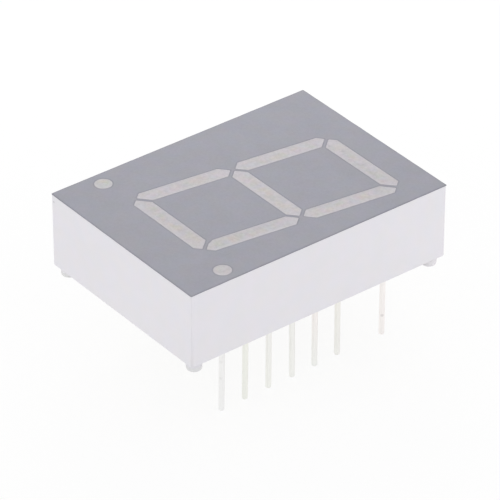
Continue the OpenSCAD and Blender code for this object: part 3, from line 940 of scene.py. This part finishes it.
class DISPLAY_OT_board(bpy.types.Operator):
    """Finish the circuit board, its copper, the solder joints, the chips and their bond wires"""

    bl_idname = "display.board"
    bl_label = "Board and chips"

    def execute(self, context):
        colours = context.scene.display_colours
        copper = bare_metal("Etched_copper", colours.copper, 0.35, 0.6)
        finishes = {
            "circuit_board": glass_epoxy_laminate(colours.board),
            "front_copper": copper,
            "back_copper": copper,
            "solder_joints": bare_metal("Tin_solder", colours.solder, 0.2, 0.4),
            "led_chip_": sawn_semiconductor(colours.chip),
            "bond_wire_": bare_metal("Bonding_gold", colours.gold, 0.18, 0.1),
        }
        for start, material in finishes.items():
            for name in nodes:
                if name.startswith(start):
                    nodes[name].data.materials.clear()
                    nodes[name].data.materials.append(material)
        return {"FINISHED"}


# The middle of each lamp and its width, in millimetres, and its share of the lamps' power.
LAMPS = {
    "right_lamp": ((160, 120, 60), 100, 1.26),
    "upper_left_lamp": ((-75, 50, 64), 60, 0.5),
    "lower_lamp": ((-20, -260, 80), 120, 1.75),
    "camera_side_lamp": ((380, -300, 300), 200, 6.2),
}


def seen_directly(tree):
    """One for a ray that comes from the camera, a mirror or a clear body, and zero for others."""
    path = add(tree, "LightPath")
    seen = path["Is Camera Ray"]
    for way in ("Is Glossy Ray", "Is Transmission Ray"):
        seen = add(tree, "Math", {0: seen, 1: path[way]}, operation="MAXIMUM")[0]
    return seen


class DISPLAY_OT_stage(bpy.types.Operator):
    """Set the white floor, the soft light and the camera"""

    bl_idname = "display.stage"
    bl_label = "Stage"

    def execute(self, context):
        scene, stage = context.scene, context.scene.display_stage
        scene.view_settings.view_transform = "Standard"
        white, pale = linear("#FFFFFF") + (1.0,), linear("#F9F9F9") + (1.0,)

        # Painted studio floor: white, and it keeps a share of the display's shadow.
        floor_paint = bpy.data.materials.new("White_floor_paint")
        tree = empty_tree(floor_paint)
        lit = add(tree, "BsdfDiffuse", {"Color": pale})[0]
        shown = add(tree, "BsdfDiffuse", {"Color": white})[0]
        glow = add(tree, "Emission", {"Color": white, "Strength": 1.0})[0]
        shown = add(tree, "MixShader", {0: 1 - stage.shadow, 1: shown, 2: glow})[0]
        both = add(tree, "MixShader", {0: seen_directly(tree), 1: lit, 2: shown})[0]
        # From below the floor is clear, so that the display's underside can be looked at.
        below = add(tree, "NewGeometry")["Backfacing"]
        clear = add(tree, "BsdfTransparent")[0]
        both = add(tree, "MixShader", {0: below, 1: both, 2: clear})[0]
        add(tree, "OutputMaterial", {"Surface": both})
        height = cad_low[2] - 0.01 * MM
        floor_mesh = bpy.data.meshes.new("floor")
        floor_mesh.from_pydata([(2 * x, 2 * y, height) for x, y in SIGNS], [], [(0, 1, 2, 3)])
        floor_mesh.materials.append(floor_paint)
        new_object("floor", floor_mesh)

        # The studio round it: an even pale light, and plain white where it is seen or mirrored.
        world = bpy.data.worlds.new("Studio")
        scene.world = world
        world.cycles.sampling_method = "NONE"
        tree = empty_tree(world)
        level = add(tree, "MapRange", {"Value": seen_directly(tree), "To Min": stage.sky,
                                       "To Max": 1.0})[0]
        sky = add(tree, "Background", {"Color": white, "Strength": level})[0]
        add(tree, "OutputWorld", {"Surface": sky})

        for name, (place, size, share) in LAMPS.items():
            lamp = bpy.data.lights.new(name, "AREA")
            lamp.size = size * MM
            lamp.energy = stage.lamp * share
            holder = new_object(name, lamp)
            holder.location = Vector(place) * MM
            holder.rotation_euler = (-holder.location).to_track_quat("-Z", "Y").to_euler()

        camera = new_object("camera", bpy.data.cameras.new("camera"))
        flat = math.cos(stage.elevation)
        away = Vector((math.sin(stage.azimuth) * flat, -math.cos(stage.azimuth) * flat,
                       math.sin(stage.elevation)))
        camera.location = Vector(stage.aim) + away * stage.distance
        camera.rotation_mode = "QUATERNION"
        roll = Quaternion((0, 0, 1), stage.roll)
        camera.rotation_quaternion = (-away).to_track_quat("-Z", "Y") @ roll
        camera.data.lens = stage.lens
        camera.data.sensor_width = 36.0
        camera.data.clip_start = 0.01
        camera.data.clip_end = 10.0
        scene.camera = camera
        return {"FINISHED"}


# ---- Panel and registration ----

class DISPLAY_PT_panel(bpy.types.Panel):
    """Lists the display's settings and the operators that build it"""

    bl_label = "Seven Segment Display"
    bl_idname = "DISPLAY_PT_panel"
    bl_space_type = "VIEW_3D"
    bl_region_type = "UI"
    bl_category = "Display"

    def draw(self, context):
        scene = context.scene
        for group in (scene.display_sizes, scene.display_colours, scene.display_stage):
            column = self.layout.column()
            for name in group.bl_rna.properties.keys():
                if name not in ("rna_type", "name"):
                    column.prop(group, name)
        for operator in OPERATORS:
            self.layout.operator(operator.bl_idname)


GROUPS = (DisplaySizes, DisplayColours, DisplayStage)
OPERATORS = (DISPLAY_OT_housing, DISPLAY_OT_face, DISPLAY_OT_windows, DISPLAY_OT_leads,
             DISPLAY_OT_seal, DISPLAY_OT_board, DISPLAY_OT_stage)


def register():
    """Registers the classes, and gives each scene the display's settings."""
    for each in (*GROUPS, *OPERATORS, DISPLAY_PT_panel):
        bpy.utils.register_class(each)
    bpy.types.Scene.display_sizes = PointerProperty(type=DisplaySizes)
    bpy.types.Scene.display_colours = PointerProperty(type=DisplayColours)
    bpy.types.Scene.display_stage = PointerProperty(type=DisplayStage)


def unregister():
    """Takes the settings and the classes away again."""
    del bpy.types.Scene.display_sizes, bpy.types.Scene.display_colours
    del bpy.types.Scene.display_stage
    for each in (DISPLAY_PT_panel, *reversed(OPERATORS), *reversed(GROUPS)):
        bpy.utils.unregister_class(each)


def main():
    register()
    for operator in OPERATORS:
        group, name = operator.bl_idname.split(".")
        getattr(getattr(bpy.ops, group), name)()


if __name__ == "__main__":
    main()
